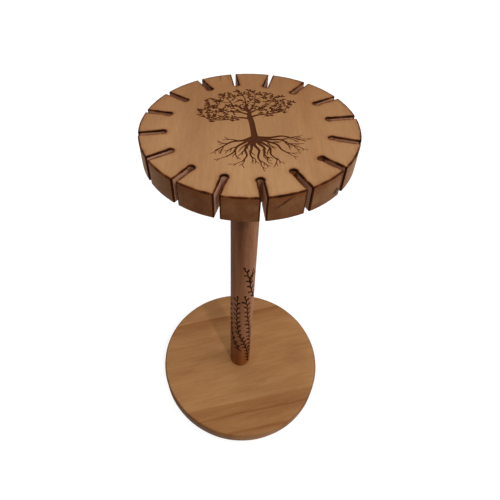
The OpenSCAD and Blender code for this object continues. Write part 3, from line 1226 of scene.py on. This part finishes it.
def wood(name, turn, tint, bands, rings, ring_depth, streak, marks, painted_light_and_tones):
    """Oiled wood with its grain along the turned X axis, burned where the mesh says so.

    tint gives the pale, deep, band and end-grain colours, bands the places and strengths of
    darker bands across the grain in mm, which on the post are painted shade that darkens its
    side away from the light, rings the pith's place, its tilt and the ring width, ring_depth how
    strongly rings show, streak a streak's length and width in mm and strength, marks the stains
    and scratches, and the last argument the patches of painted light and shade and of lighter or
    darker tone."""
    pale, deep, band_and_shade_tint, end_tint = tint
    paper = Paper(bpy.data.materials.new(name))
    place = paper.place()
    rotation = Euler([math.radians(a) for a in turn])
    grain = paper.node("Mapping", {"Vector": place, "Rotation": rotation}).outputs[0]
    axes = paper.node("SeparateXYZ", {0: grain}).outputs
    noise = {part: paper.noise(grain, *settings) for part, settings in GRAIN.items()}
    # Growth rings about a pith that runs beside the board
    side, height, tilt, period = rings
    across = paper.math("SUBTRACT", axes[1], side)
    above = paper.math("SUBTRACT", paper.math("MULTIPLY_ADD", axes[0], tilt, axes[2]), height)
    distance = paper.length(paper.node("CombineXYZ", {1: across, 2: above}).outputs[0])
    stray = paper.math("ADD", noise["warp"], noise["ripple"])
    turns = paper.math("DIVIDE", paper.math("ADD", distance, stray), period)
    late = paper.ramp(paper.math("FRACT", turns), RING)
    # Broad bands and streaks. On the post the bands are painted shade on its side away from the light.
    level = paper.spread(paper.math("ADD", axes[1], noise["warp"]), -BAND_REACH, BAND_REACH)
    broad_bands_and_shade = paper.ramp(level, [(0.5 + at / BAND_REACH / 2, strength) for at, strength in bands])
    along, around = 1 / streak[0], 1 / streak[1]
    streaks = paper.noise(grain, (along, around, around), *STREAK)
    deepness = paper.math("MULTIPLY", late, ring_depth)
    shares = ((streaks, streak[2]), (noise["cloud"], CLOUD_SHARE), (noise["fibres"], FIBRE_SHARE))
    for part, share in shares:
        deepness = paper.math("MULTIPLY_ADD", part, share, deepness)
    colour = paper.mix(deepness, pale, deep)
    colour = paper.mix(broad_bands_and_shade, colour, band_and_shade_tint, "MULTIPLY")
    colour = paper.mix(paper.math("MULTIPLY", noise["pores"], PORE_SHARE), colour, STAIN)
    # End grain drinks in the oil and looks darker
    normal = paper.node("NewGeometry", {}).outputs["Normal"]
    axis = Vector((1, 0, 0))
    axis.rotate(rotation.to_matrix().inverted())
    facing = paper.node("VectorMath", {0: normal, 1: axis}, operation="DOT_PRODUCT").outputs["Value"]
    squarely = paper.spread(paper.math("ABSOLUTE", facing), *END_GRAIN)
    colour = paper.mix(paper.math("MULTIPLY", squarely, noise["patches"]), colour, end_tint, "MULTIPLY")
    colour = paper.mix(paper.math("MULTIPLY", paper.attribute("sawn"), SAWN_SHARE), colour, SAWN)
    # Patches of painted light and shade, and of lighter or darker tone, multiply the colour.
    for centre, halves, tone in painted_light_and_tones:
        off = paper.patch(place, centre, halves)
        colour = paper.mix(paper.spread(off, 1.0, PATCH_CORE), colour, tone, "MULTIPLY")
    frayed = paper.noise(place, *FRAY_NOISE)
    for centre, angles, halves, strength in marks:
        off = paper.patch(place, centre, halves, angles)
        off = paper.math("MULTIPLY_ADD", frayed, min(FRAY_SHARE, FRAY / max(halves)), off)
        colour = paper.mix(paper.spread(off, 1.0, PATCH_CORE, 0.0, strength), colour, STAIN)
    burn = paper.attribute("burn")
    uneven = paper.math("MULTIPLY", burn, noise["speckle"])
    for first, full, tone in CHAR:
        colour = paper.mix(paper.spread(uneven, first, full), colour, tone)
    rough = paper.spread(paper.math("ADD", noise["fibres"], burn), *WOOD_ROUGH)
    relief = paper.math("SUBTRACT", paper.math("MULTIPLY", noise["fibres"], FIBRE_RELIEF), noise["pores"])
    bump = paper.bump(relief, *WOOD_BUMP)
    return paper.finish(Base_Color=colour, Roughness=rough, Normal=bump, Specular_IOR_Level=WOOD_GLOSS)


def cloudy(name, tints, cloud, grit, rough, bump, metallic=0.0):
    """Two tints in clouds, with fine grit that sets the roughness and the bumps."""
    paper = Paper(bpy.data.materials.new(name))
    place = paper.place()
    colour = paper.mix(paper.noise(place, *cloud), *tints)
    fine = paper.noise(place, *grit)
    normal = paper.bump(fine, *bump)
    roughness = paper.spread(fine, *rough)
    return paper.finish(Base_Color=colour, Metallic=metallic, Roughness=roughness, Normal=normal)


# Light: how bright the room is, and each lamp's heading, height and spread in degrees, its strength
# and its colour
AMBIENT = 0.32
LAMPS = [
    ("overhead", 30, 80, 60, 0.88, (1.0, 0.98, 0.95)),
    ("back_fill", 110, 30, 60, 0.5, (1.0, 0.97, 0.93)),
    ("front_right", -70, 48, 3, 0.9, (1.0, 0.96, 0.9)),
    ("right_fill", -15, 25, 50, 1.35, (0.97, 0.98, 1.0)),
]
WHITE = (1, 1, 1, 1)
# The floor: its colours for bounced light and for the camera, its glow and roughness, and its height
# and reach in metres
FLOOR_TO_LIGHT = (0.3, 0.28, 0.26, 1.0)
FLOOR_TO_CAMERA = (0.3, 0.3, 0.3, 1.0)
FLOOR_GLOW = 0.8
FLOOR_ROUGH = 0.9
FLOOR_Z = -0.0002
FLOOR_REACH = 3.0


def sun(name, heading, height, spread, strength, colour):
    """A soft lamp far away, in the direction of a heading and a height in degrees."""
    lamp = bpy.data.lights.new(name, "SUN")
    lamp.angle = math.radians(spread)
    lamp.energy = strength
    lamp.color = colour
    light = bpy.data.objects.new(name, lamp)
    light.rotation_euler = (math.radians(90 - height), 0, math.radians(heading + 90))
    bpy.context.scene.collection.objects.link(light)


def seen_directly(paper):
    """1 for rays that show the backdrop itself, to the camera or in a reflection."""
    rays = paper.node("LightPath", {}).outputs
    direct = paper.math("ADD", rays["Is Camera Ray"], rays["Is Glossy Ray"])
    return paper.math("MINIMUM", paper.math("ADD", direct, rays["Is Transmission Ray"]), 1.0)


def studio():
    scene = bpy.context.scene
    scene.view_settings.view_transform = "Standard"
    sky = Paper(bpy.data.worlds.new("studio_world"), "Background")
    strength = sky.spread(seen_directly(sky), 0.0, 1.0, AMBIENT, 1.0)
    scene.world = sky.finish(Color=WHITE, Strength=strength)
    for lamp in LAMPS:
        sun(*lamp)

    mesh = bpy.data.meshes.new("studio_floor")
    corners = [(x * FLOOR_REACH, y * FLOOR_REACH, FLOOR_Z) for x, y in ((-1, -1), (1, -1), (1, 1), (-1, 1))]
    mesh.from_pydata(corners, [], [(0, 1, 2, 3)])
    floor = bpy.data.objects.new("studio_floor", mesh)
    scene.collection.objects.link(floor)
    paper = Paper(bpy.data.materials.new("pale_floor"))
    direct = seen_directly(paper)
    colour = paper.mix(direct, FLOOR_TO_LIGHT, FLOOR_TO_CAMERA)
    glow = paper.math("MULTIPLY", direct, FLOOR_GLOW)
    shown = paper.math("SUBTRACT", 1.0, paper.node("NewGeometry", {}).outputs["Backfacing"])
    mesh.materials.append(paper.finish(
        Base_Color=colour, Roughness=FLOOR_ROUGH, Specular_IOR_Level=0.0,
        Emission_Color=WHITE, Emission_Strength=glow, Alpha=shown))
    floor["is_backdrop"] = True


def photo_camera():
    data = bpy.data.cameras.new("photo_camera")
    data.sensor_width = SENSOR_MM
    data.lens = FOCAL_PX / PHOTO_SIZE * SENSOR_MM
    data.shift_x = 0.5 - CENTRE_PX[0] / PHOTO_SIZE
    data.shift_y = CENTRE_PX[1] / PHOTO_SIZE - 0.5
    data.clip_start = CLIP_START
    camera = bpy.data.objects.new("photo_camera", data)
    aim = Euler((math.radians(90 - CAMERA_TILT), 0, math.radians(CAMERA_HEADING - 90)))
    facing = aim.to_matrix() @ Matrix.Rotation(math.radians(CAMERA_ROLL), 3, "Z")
    camera.matrix_world = Matrix.Translation(Vector(CAMERA_AT) * MM) @ facing.to_4x4()
    bpy.context.scene.collection.objects.link(camera)
    bpy.context.scene.camera = camera


photo_camera()
studio()
top_board(wood(
    "top_wood_oiled", turn=(0, 0, -83.5),
    tint=(paint(182, 140, 98), paint(147, 106, 69), paint(218, 196, 178), paint(174, 144, 132)),
    bands=[(-120, 0.2), (-60, 0.1), (-42, 0.4), (-36, 0.1), (0, 0.0), (30, 0.2), (52, 0.05), (66, 0.2),
           (90, 0.1)],
    rings=(-95, 380, 0.02, 3.1), ring_depth=0.05, streak=(22, 2.6, 0.22),
    marks=TOP_MARKS, painted_light_and_tones=TOP_PAINTED_LIGHT))
dowel_post(wood(
    "post_wood_oiled", turn=(90, 0, 90),
    tint=(paint(176, 127, 96), paint(128, 84, 57), paint(171, 141, 119), paint(160, 146, 138)),
    # On the post these bands are painted shade: they darken its side towards -X, away from the light, and
    # leave the side towards +X pale.
    bands=[(-120, 0.7), (-10, 0.7), (-7, 0.5), (-4, 0.7), (-1, 0.6), (2, 0.4), (5, 0.35), (8, 0.1),
           (120, 0.0)],
    rings=(9, 14, 0.004, 1.7), ring_depth=0.2, streak=(55, 3.3, 0.28),
    marks=POST_MARKS, painted_light_and_tones=POST_PAINTED_LIGHT_AND_TONES))
base_board(wood(
    "base_wood_oiled", turn=(0, 0, -7.5),
    tint=(paint(171, 127, 83), paint(140, 96, 58), paint(210, 185, 164), paint(150, 122, 104)),
    bands=[(-120, 0.3), (-95, 0.4), (-92.5, 0.9), (-90, 0.35), (-82, 0.45), (-74, 0.5), (-72.5, 0.95),
           (-70.5, 0.55), (-58.5, 0.5), (-57.5, 0.05), (-30, 0.05), (-12, 0.2), (5, 0.15), (11, 0.35),
           (16, 0.15), (30, 0.1), (44, 0.15), (60, 0.6), (67, 0.9), (68, 0.1), (80, 0.15), (120, 0.3)],
    rings=(20, -140, 0.05, 5.0), ring_depth=0.12, streak=(48, 3.2, 0.34),
    marks=BASE_MARKS, painted_light_and_tones=BASE_PAINTED_SHADE))
wood_screw(cloudy(
    "zinc_plate", tints=(paint(176, 178, 176), paint(208, 205, 192)), cloud=((0.9, 0.9, 0.9), 3),
    grit=((0.4, 6.0, 0.4), 2), rough=(0.3, 0.7, 0.28, 0.42), bump=(0.2, 0.03), metallic=1.0))
rubber = cloudy(
    "foot_rubber_matt", tints=(paint(34, 33, 32), paint(62, 60, 57)),
    cloud=((0.35, 0.35, 0.35), 4, 0.6, (0.4, 0.75)),
    grit=((2.6, 2.6, 2.6), 2), rough=(0.3, 0.7, 0.7, 0.88), bump=(0.4, 0.05))
for number in range(1, FOOT_COUNT + 1):
    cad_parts[f"rubber_foot_{number}"].data.materials[0] = rubber

boxes = {"cad": cad_box, "visual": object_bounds()}
{name: [list(corner) for corner in box] for name, box in boxes.items()}
